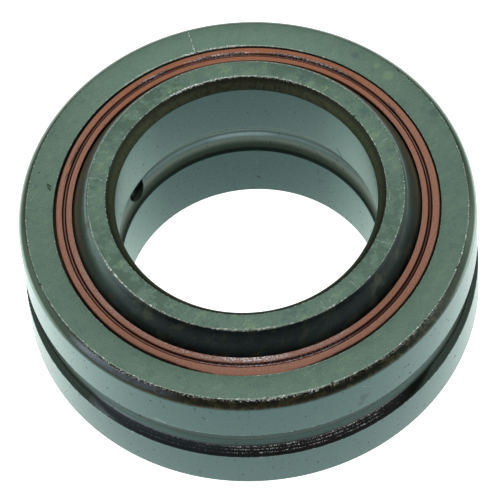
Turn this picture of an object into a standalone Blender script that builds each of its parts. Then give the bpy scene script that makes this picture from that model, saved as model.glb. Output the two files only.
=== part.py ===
"""Sealed radial spherical plain bearing for a 20 mm shaft.

The outer ring's hollow race slides on the ball surface of the inner ring. The outer ring
is fractured at one place, so that it can be sprung open over the ball, and a double-lip
seal is snapped into each of its sides. The origin is the centre of the ball, and the bore
runs along Z.
"""

import math
import random

import bmesh
import bpy
from mathutils import Matrix

MM = 0.001

# The two rings: the walls are measured from bore to ball and from ball to rim, and the face
# step is how far the inner ring's face stands out past the outer ring's
BORE_DIAMETER = 20.0 * MM
INNER_WALL = 4.5 * MM
OUTER_WALL = 3.0 * MM
INNER_WIDTH = 16.0 * MM
FACE_STEP = 2.0 * MM
RACE_CLEARANCE = 0.07 * MM

# Turned edges: each chamfer has a leg along the face, a leg along the wall and a slight crown
BORE_CHAMFER_RADIAL = 0.70 * MM
BORE_CHAMFER_AXIAL = 0.85 * MM
RIM_CHAMFER_RADIAL = 0.62 * MM
RIM_CHAMFER_AXIAL = 0.68 * MM
CHAMFER_CROWN = 0.05 * MM
BALL_EDGE_BREAK = 0.10 * MM

# Lubrication: a round-bottomed groove in the bore, in the rim and in the race, and cross holes
BORE_GROOVE_WIDTH = 3.1 * MM
BORE_GROOVE_DEPTH = 0.6 * MM
RIM_GROOVE_WIDTH = 3.3 * MM
RIM_GROOVE_DEPTH = 0.9 * MM
RACE_GROOVE_WIDTH = 2.4 * MM
RACE_GROOVE_DEPTH = 0.5 * MM
HOLE_DIAMETER = 2.0 * MM
INNER_HOLE_AZIMUTH = math.radians(145)

# The fracture across the outer ring; its cross holes lie a quarter turn away from it
FRACTURE_AZIMUTH = math.radians(101.5)
FRACTURE_GAP = 0.05 * MM
FRACTURE_ROUGHNESS = 0.07 * MM
FRACTURE_GRAIN = 1.0 * MM
OUTER_HOLE_AZIMUTH = FRACTURE_AZIMUTH + math.radians(90)

# Seat of a seal in the side of the outer ring: a mouth that narrows over an undercut
SEAT_WIDTH_AT_FACE = 1.6 * MM
SEAT_DEPTH = 1.7 * MM
SEAT_LIP_DEPTH = 0.75 * MM
SEAT_FLANK_DROP = 0.2 * MM
SEAT_UNDERCUT = 0.5 * MM
SEAT_EDGE_BREAK = 0.08 * MM

# The seal: an outer band, a groove and an inner lip on its face, and two lips on the ball
SEAL_SEAT_CLEARANCE = 0.12 * MM
SEAL_LIP_CLEARANCE = 0.08 * MM
SEAL_SET_BACK = 0.05 * MM
SEAL_EDGE_ROUND = 0.08 * MM
SEAL_LIP_BAND = 0.47 * MM
SEAL_GROOVE_WIDTH = 0.42 * MM
SEAL_GROOVE_DEPTH = 0.45 * MM
SEAL_GROOVE_TAPER = 0.07 * MM
SEAL_LOWER_LIP_HEIGHT = 0.35 * MM
SEAL_UPPER_LIP_HEIGHT = 0.45 * MM
SEAL_POCKET_DEPTH = 0.30 * MM
SEAL_POCKET_WALL = 0.20 * MM

# Fineness of the turned surfaces
SEGMENTS = 60
GROOVE_STEPS = 6
RACE_GROOVE_STEPS = 4
RACE_STEPS = 4
BALL_STEPS = 13
HOLE_SIDES = 20
CUTTER_MARGIN = 0.4 * MM
SHARP_ANGLE = math.radians(30)

# Places that follow from the sizes
BORE_RADIUS = BORE_DIAMETER / 2
BALL_RADIUS = BORE_RADIUS + INNER_WALL
RIM_RADIUS = BALL_RADIUS + OUTER_WALL
RACE_RADIUS = BALL_RADIUS + RACE_CLEARANCE
LIP_RADIUS = BALL_RADIUS + SEAL_LIP_CLEARANCE
INNER_FACE = INNER_WIDTH / 2
OUTER_FACE = INNER_FACE - FACE_STEP
SEAT_MOUTH_RADIUS = math.sqrt(BALL_RADIUS**2 - OUTER_FACE**2) + SEAT_WIDTH_AT_FACE

# Finishes, with linear base colours
STEEL_COLOUR = (0.115, 0.185, 0.160, 1.0)
STEEL_METALLIC = 0.4
BALL_ROUGHNESS = 0.35
RING_ROUGHNESS = 0.45
SEAL_COLOUR = (0.300, 0.110, 0.068, 1.0)
SEAL_METALLIC = 0.0
SEAL_ROUGHNESS = 0.6


def on_ball(radius, height):
    """Distance from the bore's axis to a ball surface at a height above its centre."""
    return math.sqrt(radius**2 - height**2)


def mirrored(points):
    """The same outline below the middle plane, run the other way."""
    return [(radius, -height) for radius, height in reversed(points)]


def ball_arc(radius, start, end, steps):
    """Points along a ball surface between two heights, evenly spaced by angle."""
    first = math.asin(start / radius)
    last = math.asin(end / radius)
    angles = [first + (last - first) * step / steps for step in range(steps + 1)]
    return [(radius * math.cos(angle), radius * math.sin(angle)) for angle in angles]


def groove_arc(wall_radius, half_width, depth, steps):
    """A round-bottomed groove in a wall, top to bottom; a negative depth cuts away from the axis."""
    arc_radius = (half_width**2 + depth**2) / (2 * abs(depth))
    sink = math.copysign(arc_radius - abs(depth), depth)
    half_angle = math.asin(half_width / arc_radius)
    points = []
    for step in range(steps + 1):
        angle = half_angle * (1 - 2 * step / steps)
        bulge = math.copysign(arc_radius * math.cos(angle), depth) - sink
        points.append((wall_radius - bulge, arc_radius * math.sin(angle)))
    return points


def crowned_chamfer(start, end, crown):
    """The two ends of a chamfer with a point between them, raised from the chord by its crown."""
    run = (end[0] - start[0], end[1] - start[1])
    length = math.hypot(*run)
    middle = ((start[0] + end[0]) / 2, (start[1] + end[1]) / 2)
    raised = (middle[0] - run[1] * crown / length, middle[1] + run[0] * crown / length)
    return [start, raised, end]


def inner_ring_outline():
    """Half section of the inner ring: ball outside, chamfered and grooved bore inside."""
    bore_edge = crowned_chamfer(
        (BORE_RADIUS, INNER_FACE - BORE_CHAMFER_AXIAL),
        (BORE_RADIUS + BORE_CHAMFER_RADIAL, INNER_FACE),
        CHAMFER_CROWN,
    )
    ball_top = INNER_FACE - BALL_EDGE_BREAK
    face_edge = (on_ball(BALL_RADIUS, INNER_FACE) - BALL_EDGE_BREAK, INNER_FACE)
    ball = ball_arc(BALL_RADIUS, ball_top, -ball_top, BALL_STEPS)
    groove = groove_arc(BORE_RADIUS, BORE_GROOVE_WIDTH / 2, -BORE_GROOVE_DEPTH, GROOVE_STEPS)
    upper = bore_edge + [face_edge]
    return upper + ball + mirrored(upper) + groove[::-1]


def seat_outline():
    """Upper seal seat, from the ring's face down to the edge of the race."""
    undercut = SEAT_MOUTH_RADIUS + SEAT_UNDERCUT
    lip_foot = OUTER_FACE - SEAT_LIP_DEPTH
    floor = OUTER_FACE - SEAT_DEPTH
    return [
        (SEAT_MOUTH_RADIUS + SEAT_EDGE_BREAK, OUTER_FACE),
        (SEAT_MOUTH_RADIUS, OUTER_FACE - SEAT_EDGE_BREAK),
        (SEAT_MOUTH_RADIUS, lip_foot),
        (undercut, lip_foot - SEAT_FLANK_DROP),
        (undercut, floor),
    ]


def outer_ring_outline():
    """Half section of the outer ring: grooved rim outside, race and seal seats inside."""
    rim_edge = crowned_chamfer(
        (RIM_RADIUS - RIM_CHAMFER_RADIAL, OUTER_FACE),
        (RIM_RADIUS, OUTER_FACE - RIM_CHAMFER_AXIAL),
        CHAMFER_CROWN,
    )
    rim_groove = groove_arc(RIM_RADIUS, RIM_GROOVE_WIDTH / 2, RIM_GROOVE_DEPTH, GROOVE_STEPS)
    rim = rim_edge + rim_groove + mirrored(rim_edge)

    race_end = OUTER_FACE - SEAT_DEPTH
    groove_end = RACE_GROOVE_WIDTH / 2
    upper_race = ball_arc(RACE_RADIUS, race_end, groove_end, RACE_STEPS)
    groove_wall = on_ball(RACE_RADIUS, groove_end)
    race_groove = groove_arc(groove_wall, groove_end, -RACE_GROOVE_DEPTH, RACE_GROOVE_STEPS)
    upper_half = seat_outline() + upper_race
    inside = upper_half + race_groove[1:-1] + mirrored(upper_half)
    return rim + inside[::-1]


def seal_outline():
    """Half section of the upper seal, fitted to its seat and to the ball."""
    rim = SEAT_MOUTH_RADIUS - SEAL_SEAT_CLEARANCE
    bead = rim + SEAT_UNDERCUT
    top = OUTER_FACE - SEAL_SET_BACK
    bead_top = OUTER_FACE - SEAT_LIP_DEPTH - SEAL_SEAT_CLEARANCE
    bottom = OUTER_FACE - SEAT_DEPTH + SEAL_SEAT_CLEARANCE
    outside = [
        (rim - SEAL_EDGE_ROUND, top),
        (rim, top - SEAL_EDGE_ROUND),
        (rim, bead_top),
        (bead, bead_top - SEAT_FLANK_DROP),
        (bead, bottom),
    ]

    lower_lip_top = bottom + SEAL_LOWER_LIP_HEIGHT
    lower_lip_edge = on_ball(LIP_RADIUS, lower_lip_top)
    upper_lip_foot = top - SEAL_UPPER_LIP_HEIGHT
    pocket_bottom = lower_lip_top + SEAL_POCKET_WALL
    pocket_top = top - SEAL_GROOVE_DEPTH - SEAL_POCKET_WALL
    ball_side = [
        (on_ball(LIP_RADIUS, bottom), bottom),
        (lower_lip_edge, lower_lip_top),
        (lower_lip_edge + SEAL_POCKET_DEPTH, pocket_bottom),
        (lower_lip_edge + SEAL_POCKET_DEPTH, pocket_top),
        (on_ball(LIP_RADIUS, upper_lip_foot), upper_lip_foot),
        (on_ball(LIP_RADIUS, top), top),
    ]

    groove_start = on_ball(LIP_RADIUS, top) + SEAL_LIP_BAND
    groove_end = groove_start + SEAL_GROOVE_WIDTH
    groove_floor = top - SEAL_GROOVE_DEPTH
    face_groove = [
        (groove_start, top),
        (groove_start + SEAL_GROOVE_TAPER, groove_floor),
        (groove_end - SEAL_GROOVE_TAPER, groove_floor),
        (groove_end, top),
    ]
    return outside + ball_side + face_groove


def turned(name, outline, material):
    """Spins a closed half section round the bore's axis into one solid."""
    shape = bmesh.new()
    corners = [shape.verts.new((radius, 0, height)) for radius, height in outline]
    edges = [shape.edges.new(pair) for pair in zip(corners, corners[1:] + corners[:1])]
    bmesh.ops.spin(
        shape,
        geom=corners + edges,
        cent=(0, 0, 0),
        axis=(0, 0, 1),
        angle=math.tau,
        steps=SEGMENTS,
        use_merge=True,
    )
    bmesh.ops.recalc_face_normals(shape, faces=shape.faces)
    return finished(name, shape, material)


def finished(name, shape, material=None):
    """Puts a shape in the scene, smooth over its round surfaces and sharp at its edges."""
    mesh = bpy.data.meshes.new(name)
    shape.to_mesh(mesh)
    shape.free()
    mesh.shade_smooth()
    mesh.set_sharp_from_angle(angle=SHARP_ANGLE)
    piece = bpy.data.objects.new(name, mesh)
    bpy.context.scene.collection.objects.link(piece)
    if material:
        mesh.materials.append(material)
    return piece


def cut(piece, cutter):
    """Subtracts a cutter, which then stays out of sight."""
    cutter.hide_render = True
    cutter.display_type = "WIRE"
    boolean = piece.modifiers.new(cutter.name, "BOOLEAN")
    boolean.operation = "DIFFERENCE"
    boolean.solver = "EXACT"
    boolean.object = cutter


def cross_drill(name, azimuth, reach):
    """A drill straight through both walls of a ring, at the middle of its width."""
    shape = bmesh.new()
    along_x = Matrix.Rotation(math.radians(90), 4, "Y")
    bmesh.ops.create_cone(
        shape,
        cap_ends=True,
        segments=HOLE_SIDES,
        radius1=HOLE_DIAMETER / 2,
        radius2=HOLE_DIAMETER / 2,
        depth=2 * reach,
        matrix=Matrix.Rotation(azimuth, 4, "Z") @ along_x,
    )
    return finished(name, shape)


def fracture_blade():
    """A thin rough sheet that parts the outer ring, leaving two faces that match."""
    start = SEAT_MOUTH_RADIUS - SEAT_WIDTH_AT_FACE - CUTTER_MARGIN
    end = RIM_RADIUS + CUTTER_MARGIN
    half_height = OUTER_FACE + CUTTER_MARGIN
    columns = round((end - start) / FRACTURE_GRAIN)
    rows = round(2 * half_height / FRACTURE_GRAIN)
    grain = random.Random(3)

    shape = bmesh.new()
    grid = []
    for row in range(rows + 1):
        height = half_height * (2 * row / rows - 1)
        line = []
        for column in range(columns + 1):
            radius = start + (end - start) * column / columns
            offset = grain.uniform(-FRACTURE_ROUGHNESS, FRACTURE_ROUGHNESS)
            line.append(shape.verts.new((radius, offset, height)))
        grid.append(line)
    for low, high in zip(grid, grid[1:]):
        for left in range(columns):
            shape.faces.new((low[left], low[left + 1], high[left + 1], high[left]))
    shape.normal_update()
    bmesh.ops.solidify(shape, geom=shape.faces[:], thickness=FRACTURE_GAP)
    bmesh.ops.recalc_face_normals(shape, faces=shape.faces)
    bmesh.ops.rotate(
        shape,
        cent=(0, 0, 0),
        matrix=Matrix.Rotation(FRACTURE_AZIMUTH, 3, "Z"),
        verts=shape.verts,
    )
    return finished("fracture_blade", shape)


def surface(name, colour, metallic, roughness):
    """A plain Principled material."""
    material = bpy.data.materials.new(name)
    material.use_nodes = True
    shader = material.node_tree.nodes["Principled BSDF"]
    shader.inputs["Base Color"].default_value = colour
    shader.inputs["Metallic"].default_value = metallic
    shader.inputs["Roughness"].default_value = roughness
    material.diffuse_color = colour
    return material


def clear_scene():
    for thing in list(bpy.data.objects):
        bpy.data.objects.remove(thing)


def inner_ring():
    steel = surface("phosphated_ball", STEEL_COLOUR, STEEL_METALLIC, BALL_ROUGHNESS)
    ring = turned("inner_ring", inner_ring_outline(), steel)
    cut(ring, cross_drill("inner_ring_drill", INNER_HOLE_AZIMUTH, BALL_RADIUS + CUTTER_MARGIN))
    return ring


def outer_ring():
    steel = surface("phosphated_ring", STEEL_COLOUR, STEEL_METALLIC, RING_ROUGHNESS)
    ring = turned("outer_ring", outer_ring_outline(), steel)
    cut(ring, cross_drill("outer_ring_drill", OUTER_HOLE_AZIMUTH, RIM_RADIUS + CUTTER_MARGIN))
    cut(ring, fracture_blade())
    return ring


def seals():
    """The upper seal, and the lower one as its mirror image."""
    elastomer = surface("seal_elastomer", SEAL_COLOUR, SEAL_METALLIC, SEAL_ROUGHNESS)
    upper = turned("upper_seal", seal_outline(), elastomer)
    lower = turned("lower_seal", mirrored(seal_outline()), elastomer)
    return [upper, lower]


def bearing():
    """All four pieces, hung on an empty at the ball's centre, where every axis crosses."""
    centre = bpy.data.objects.new("ball_centre", None)
    centre.empty_display_size = BORE_RADIUS
    bpy.context.scene.collection.objects.link(centre)
    for piece in [inner_ring(), outer_ring(), *seals()]:
        piece.parent = centre


clear_scene()
bearing()
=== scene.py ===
"""A sealed spherical plain bearing on a pale studio floor.

Two turned, ground and phosphated steel rings with a moulded seal in each side. Sizes are in
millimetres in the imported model's frame: the bore runs along Z, the ball's centre is the origin.
"""

import math
from types import SimpleNamespace

import bmesh
import bpy
from mathutils import Matrix, Vector


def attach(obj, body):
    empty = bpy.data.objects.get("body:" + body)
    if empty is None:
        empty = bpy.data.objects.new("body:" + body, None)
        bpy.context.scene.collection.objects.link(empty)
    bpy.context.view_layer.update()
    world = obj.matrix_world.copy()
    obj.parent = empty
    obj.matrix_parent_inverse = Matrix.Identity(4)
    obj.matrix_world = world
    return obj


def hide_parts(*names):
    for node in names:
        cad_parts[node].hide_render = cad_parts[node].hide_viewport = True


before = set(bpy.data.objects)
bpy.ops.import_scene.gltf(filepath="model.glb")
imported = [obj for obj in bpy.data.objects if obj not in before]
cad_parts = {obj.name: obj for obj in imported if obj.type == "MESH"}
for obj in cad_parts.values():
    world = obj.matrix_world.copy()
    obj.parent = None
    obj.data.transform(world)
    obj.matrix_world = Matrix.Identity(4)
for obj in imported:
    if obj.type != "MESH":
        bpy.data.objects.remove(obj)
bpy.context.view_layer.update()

MM = 0.001

# The rings: radii, and heights of the faces above the middle
BORE = 10.0
BALL = 14.5
RACE_CLEARANCE = 0.07
RACE = BALL + RACE_CLEARANCE
RIM = 17.5
INNER_FACE = 8.0
OUTER_FACE = 6.0
FACE_RIM = math.sqrt(BALL**2 - INNER_FACE**2)

# Edges: a chamfer's run along the face and drop down the wall, its crown and its two roundings
BORE_CHAMFER = (0.70, 0.85)
BORE_CHAMFER_CROWN = 0.05
BORE_CHAMFER_ROUNDING = (0.06, 0.05)
BORE_FACE_EDGE = BORE + BORE_CHAMFER[0]
BORE_WALL_EDGE = INNER_FACE - BORE_CHAMFER[1]
RIM_CHAMFER = (0.62, 0.68)
RIM_CHAMFER_CROWN = 0.08
RIM_CHAMFER_ROUNDING = (0.06, 0.08)
RIM_FACE_EDGE = RIM - RIM_CHAMFER[0]
RIM_WALL_EDGE = OUTER_FACE - RIM_CHAMFER[1]
BALL_EDGE_BREAK = 0.10
BALL_EDGE_ROUNDING = 0.04

# Oil grooves: width and depth; the bore's has a rounding for its upper and its lower edge
BORE_GROOVE = (3.1, 0.6)
BORE_GROOVE_ROUNDING = (0.50, 0.08)
RIM_GROOVE = (3.3, 0.9)
RACE_GROOVE = (2.4, 0.5)

# Cross holes: radius; the inner one's mouth has the radius, height and size of its ball cutter
OUTER_HOLE = 1.0
INNER_HOLE = 0.86
INNER_HOLE_AZIMUTH = 142.8
INNER_HOLE_MOUTH = (10.50, -0.26, 0.88)
DRILL_MARGIN = 1

# The fracture across the outer ring: half the sheet's width and height, its middle, its grains
FRACTURE_AZIMUTH = 101.5
FRACTURE_GAP = 0.02
FRACTURE_ROUGHNESS = 0.07
FRACTURE_SHEET = (2.6, 6.4)
FRACTURE_MIDDLE = 15.4
FRACTURE_GRAINS = (26, 60)

# Seat of a seal in the outer ring
SEAT_WIDTH = 1.6
SEAT_MOUTH = math.sqrt(BALL**2 - OUTER_FACE**2) + SEAT_WIDTH
SEAT_DEPTH = 1.7
SEAT_LIP_DEPTH = 0.75
SEAT_FLANK_DROP = 0.2
SEAT_UNDERCUT = 0.5

# The seal; its groove has a width, a depth and a taper, its ridge a width and a depth
SEAL_CLEARANCE = 0.12
LIP_CLEARANCE = 0.08
SEAL_NECK_GAP = 0.18
SEAL_SET_BACK = 0.05
SEAL_RIM = SEAT_MOUTH - SEAL_NECK_GAP
SEAL_TOP = OUTER_FACE - SEAL_SET_BACK
SEAL_BEAD_TOP = OUTER_FACE - SEAT_LIP_DEPTH - SEAL_CLEARANCE
SEAL_LIP_EDGE = 13.34
SEAL_LIP_BAND = 0.44
SEAL_LIP_RISE = 0.25
SEAL_GROOVE_IN = SEAL_LIP_EDGE + SEAL_LIP_BAND
SEAL_GROOVE = (0.34, 0.42, 0.03)
SEAL_RIDGE = (0.09, 0.14)
SEAL_LOWER_LIP = 0.35
SEAL_UPPER_LIP = 0.45
SEAL_POCKET = (0.30, 0.20)

# The seal's neck sits off centre and leans on its seat, more in each narrower arc
NECK_BAND = 0.12
NECK_SHIFT = (0.05, 0.06)
NECK_LEAN = 0.065
NECK_LEAN_BAND = 0.3
NECK_LEAN_AZIMUTH = 268
NECK_LEAN_ARCS = (24, 20, 16, 12)

# Fineness
SEGMENTS = 288
ARC_STEPS = 20
BALL_STEPS = 48
RACE_STEPS = 12
BORE_GROOVE_STEPS = 12
RACE_GROOVE_STEPS = 10
ROUND_STEPS = 3
HOLE_SIDES = 48
WELD = 1e-7
SHARP = math.radians(28)

# Dents in the edges: radius, azimuth, height, size
KNOCK_ROUGHNESS = 0.25
UNDER_INNER_FACE = INNER_FACE - 0.02
UNDER_OUTER_FACE = OUTER_FACE - 0.02
BALL_RING_KNOCKS = (
    (10.70, 141.3, INNER_FACE, 0.11),
    (10.70, 161.4, INNER_FACE, 0.10),
    (10.68, 35.0, INNER_FACE, 0.12),
    (10.68, 1.2, INNER_FACE, 0.10),
    (12.08, 209.0, UNDER_INNER_FACE, 0.10),
    (12.08, 267.0, UNDER_INNER_FACE, 0.12),
    (12.08, 296.0, UNDER_INNER_FACE, 0.09),
    (12.08, 234.0, UNDER_INNER_FACE, 0.07),
)
RACE_RING_KNOCKS = (
    (16.90, 198.0, UNDER_OUTER_FACE, 0.10),
    (16.90, 42.0, UNDER_OUTER_FACE, 0.11),
    (16.90, 38.2, UNDER_OUTER_FACE, 0.09),
    (16.88, 271.0, UNDER_OUTER_FACE, 0.10),
    (16.88, 288.0, UNDER_OUTER_FACE, 0.12),
    (16.88, 318.0, UNDER_OUTER_FACE, 0.08),
    (16.88, 336.0, UNDER_OUTER_FACE, 0.09),
    (RIM, 188.5, 1.60, 0.16),
    (RIM, 191.5, 1.20, 0.14),
    (14.86, 101.0, UNDER_OUTER_FACE, 0.08),
)
SEAL_NICKS = (
    (13.34, 140.6, 6.20, 0.13),
    (13.36, 97.0, 6.20, 0.05),
)


# Shaping

def polar(radius, azimuth, height):
    """The place at a radius, an azimuth in degrees and a height."""
    angle = math.radians(azimuth)
    return (radius * math.cos(angle), radius * math.sin(angle), height)


def arc_on_ball(radius, start, end, steps):
    """Points along a ball surface between two heights."""
    first = math.asin(start / radius)
    last = math.asin(end / radius)
    angles = [first + (last - first) * step / steps for step in range(steps + 1)]
    return [(radius * math.cos(angle), radius * math.sin(angle), 0) for angle in angles]


def groove(wall, size, steps, top_rounding=0, bottom_rounding=0):
    """A round-bottomed groove in a wall, top to bottom; a negative depth cuts away from the axis."""
    width, depth = size
    roundings = {0: top_rounding, steps: bottom_rounding}
    radius = (width**2 / 4 + depth**2) / (2 * abs(depth))
    sink = math.copysign(radius - abs(depth), depth)
    half_angle = math.asin(width / 2 / radius)
    points = []
    for step in range(steps + 1):
        if step == 1 and top_rounding > width / steps:
            continue
        angle = half_angle * (1 - 2 * step / steps)
        bulge = math.copysign(radius * math.cos(angle), depth) - sink
        points.append((wall - bulge, radius * math.sin(angle), roundings.get(step, 0)))
    return points


def crowned(start, end, crown, roundings, steps=4):
    """A chamfer between two corners, bulging slightly in its middle."""
    run = Vector(end) - Vector(start)
    across = Vector((-run.y, run.x)).normalized()
    points = []
    for step in range(1, steps):
        share = step / steps
        place = Vector(start) + run * share + across * crown * 4 * share * (1 - share)
        points.append((place.x, place.y, 0))
    return [(*start, roundings[0]), *points, (*end, roundings[1])]


def mirrored(points):
    """The same outline below the middle, run the other way."""
    return [(radius, -height, rounding) for radius, height, rounding in reversed(points)]


def pick(piece, wanted):
    """Selects the points of the piece in hand whose place in millimetres is wanted."""
    bpy.ops.mesh.select_all(action="DESELECT")
    shape = bmesh.from_edit_mesh(piece.data)
    for vert in shape.verts:
        vert.select = wanted(vert.co / MM)
    shape.select_flush(True)
    bmesh.update_edit_mesh(piece.data)


def take_in_hand(piece):
    bpy.ops.object.select_all(action="DESELECT")
    piece.select_set(True)
    bpy.context.view_layer.objects.active = piece


def draw_section(name, corners):
    """Extrudes one point round a closed half section, each corner a radius, a height and a rounding."""
    bpy.ops.mesh.primitive_plane_add(size=MM)
    piece = bpy.context.object
    piece.name = name
    piece.data.name = name
    bpy.ops.object.mode_set(mode="EDIT")
    bpy.ops.mesh.merge(type="CENTER")
    places = [Vector((radius, 0, height)) * MM for radius, height, rounding in corners]
    bpy.ops.transform.translate(value=places[0])
    for here, there in zip(places, places[1:] + places[:1]):
        bpy.ops.mesh.extrude_region_move(TRANSFORM_OT_translate={"value": there - here})
    bpy.ops.mesh.select_all(action="SELECT")
    bpy.ops.mesh.remove_doubles(threshold=WELD)
    for radius, height, rounding in corners:
        if rounding:
            corner = Vector((radius, 0, height))
            pick(piece, lambda place: (place - corner).length < 1e-3)
            bpy.ops.mesh.bevel(offset=rounding * MM, segments=ROUND_STEPS, affect="VERTICES")
    return piece


def spin_section():
    """Spins the section in hand round the bore's axis into a closed ring."""
    bpy.ops.mesh.select_all(action="SELECT")
    bpy.ops.mesh.spin(
        steps=SEGMENTS, angle=math.tau, center=(0, 0, 0), axis=(0, 0, 1), use_auto_merge=True
    )
    bpy.ops.mesh.select_all(action="SELECT")
    bpy.ops.mesh.remove_doubles(threshold=WELD)
    bpy.ops.mesh.normals_make_consistent(inside=False)
    bpy.ops.object.mode_set(mode="OBJECT")


def carve(piece, cutter):
    """Cuts one shape out of a piece for good."""
    take_in_hand(piece)
    bpy.ops.object.modifier_add(type="BOOLEAN")
    boolean = piece.modifiers[-1]
    boolean.operation = "DIFFERENCE"
    boolean.solver = "EXACT"
    boolean.object = cutter
    bpy.ops.object.modifier_apply(modifier=boolean.name)
    bpy.data.objects.remove(cutter)


def smooth(piece):
    take_in_hand(piece)
    bpy.ops.object.shade_smooth_by_angle(angle=SHARP)


def drill(size, azimuth, reach):
    """A straight drill through both walls of a ring."""
    bpy.ops.mesh.primitive_cylinder_add(
        vertices=HOLE_SIDES,
        radius=size * MM,
        depth=2 * reach * MM,
        rotation=(0, math.radians(90), math.radians(azimuth)),
    )
    bpy.ops.object.transform_apply(rotation=True)
    return bpy.context.object


def hole_mouth():
    """A ball cutter that breaks the edge of the bore's cross hole."""
    radius, height, size = INNER_HOLE_MOUTH
    bpy.ops.mesh.primitive_uv_sphere_add(
        segments=HOLE_SIDES,
        ring_count=HOLE_SIDES // 2,
        radius=size * MM,
        location=Vector(polar(radius, INNER_HOLE_AZIMUTH, height)) * MM,
    )
    bpy.ops.object.transform_apply(location=True)
    return bpy.context.object


def knocks(places):
    """One joined cutter of small rough lumps, for dents in an edge."""
    lumps = []
    for seed, (radius, azimuth, height, size) in enumerate(places):
        bpy.ops.mesh.primitive_ico_sphere_add(
            subdivisions=2, radius=size * MM, location=Vector(polar(radius, azimuth, height)) * MM
        )
        bpy.ops.object.mode_set(mode="EDIT")
        bpy.ops.transform.vertex_random(offset=KNOCK_ROUGHNESS * size * MM, seed=seed)
        bpy.ops.object.mode_set(mode="OBJECT")
        lumps.append(bpy.context.object)
    for lump in lumps:
        lump.select_set(True)
    bpy.ops.object.join()
    bpy.ops.object.transform_apply(location=True)
    return bpy.context.object


def fracture_sheet():
    """A thin rough sheet from the race to past the rim, where the outer ring was split."""
    columns, rows = FRACTURE_GRAINS
    bpy.ops.mesh.primitive_grid_add(x_subdivisions=columns, y_subdivisions=rows, size=2 * MM)
    sheet = bpy.context.object
    bpy.ops.object.mode_set(mode="EDIT")
    bpy.ops.mesh.select_all(action="SELECT")
    bpy.ops.transform.resize(value=(*FRACTURE_SHEET, 1))
    bpy.ops.transform.rotate(value=math.radians(-90), orient_axis="X", center_override=(0, 0, 0))
    bpy.ops.transform.vertex_random(offset=FRACTURE_ROUGHNESS * MM, normal=1, seed=4)
    bpy.ops.transform.translate(value=(FRACTURE_MIDDLE * MM, 0, 0))
    bpy.ops.transform.rotate(
        value=-math.radians(FRACTURE_AZIMUTH), orient_axis="Z", center_override=(0, 0, 0)
    )
    bpy.ops.object.mode_set(mode="OBJECT")
    bpy.ops.object.modifier_add(type="SOLIDIFY")
    wall = sheet.modifiers[-1]
    wall.thickness = FRACTURE_GAP * MM
    wall.offset = 0
    bpy.ops.object.modifier_apply(modifier=wall.name)
    return sheet


# The four pieces

def ball_ring():
    """The inner ring: ball outside, chamfered and grooved bore inside."""
    bore_edge = crowned(
        (BORE, BORE_WALL_EDGE), (BORE_FACE_EDGE, INNER_FACE), BORE_CHAMFER_CROWN, BORE_CHAMFER_ROUNDING
    )
    ball_top = INNER_FACE - BALL_EDGE_BREAK
    upper = bore_edge + [(FACE_RIM - BALL_EDGE_BREAK, INNER_FACE, BALL_EDGE_ROUNDING)]
    ball = arc_on_ball(BALL, ball_top, -ball_top, BALL_STEPS)
    width, depth = BORE_GROOVE
    oil_groove = groove(BORE, (width, -depth), BORE_GROOVE_STEPS, *BORE_GROOVE_ROUNDING)
    piece = draw_section("ball_ring", upper + ball + mirrored(upper) + oil_groove[::-1])
    spin_section()
    carve(piece, drill(INNER_HOLE, INNER_HOLE_AZIMUTH, BALL + DRILL_MARGIN))
    carve(piece, hole_mouth())
    carve(piece, knocks(BALL_RING_KNOCKS))
    smooth(piece)
    return piece


def seat():
    """The upper seal's seat, from the face down to the race."""
    undercut = SEAT_MOUTH + SEAT_UNDERCUT
    lip_foot = OUTER_FACE - SEAT_LIP_DEPTH
    return [
        (SEAT_MOUTH, OUTER_FACE, 0.07),
        (SEAT_MOUTH, lip_foot, 0.05),
        (undercut, lip_foot - SEAT_FLANK_DROP, 0.05),
        (undercut, OUTER_FACE - SEAT_DEPTH, 0.10),
    ]


def race_ring():
    """The outer ring: grooved rim outside, hollow race and seal seats inside."""
    rim_edge = crowned(
        (RIM_FACE_EDGE, OUTER_FACE), (RIM, RIM_WALL_EDGE), RIM_CHAMFER_CROWN, RIM_CHAMFER_ROUNDING
    )
    rim = rim_edge + groove(RIM, RIM_GROOVE, ARC_STEPS) + mirrored(rim_edge)
    width, depth = RACE_GROOVE
    upper_race = arc_on_ball(RACE, OUTER_FACE - SEAT_DEPTH, width / 2, RACE_STEPS)
    race_groove = groove(upper_race[-1][0], (width, -depth), RACE_GROOVE_STEPS)
    half = seat() + upper_race
    inside = half + race_groove[1:-1] + mirrored(half)
    piece = draw_section("race_ring", rim + inside[::-1])
    spin_section()
    carve(piece, drill(OUTER_HOLE, FRACTURE_AZIMUTH + 90, RIM + DRILL_MARGIN))
    carve(piece, fracture_sheet())
    carve(piece, knocks(RACE_RING_KNOCKS))
    smooth(piece)
    return piece


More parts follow.
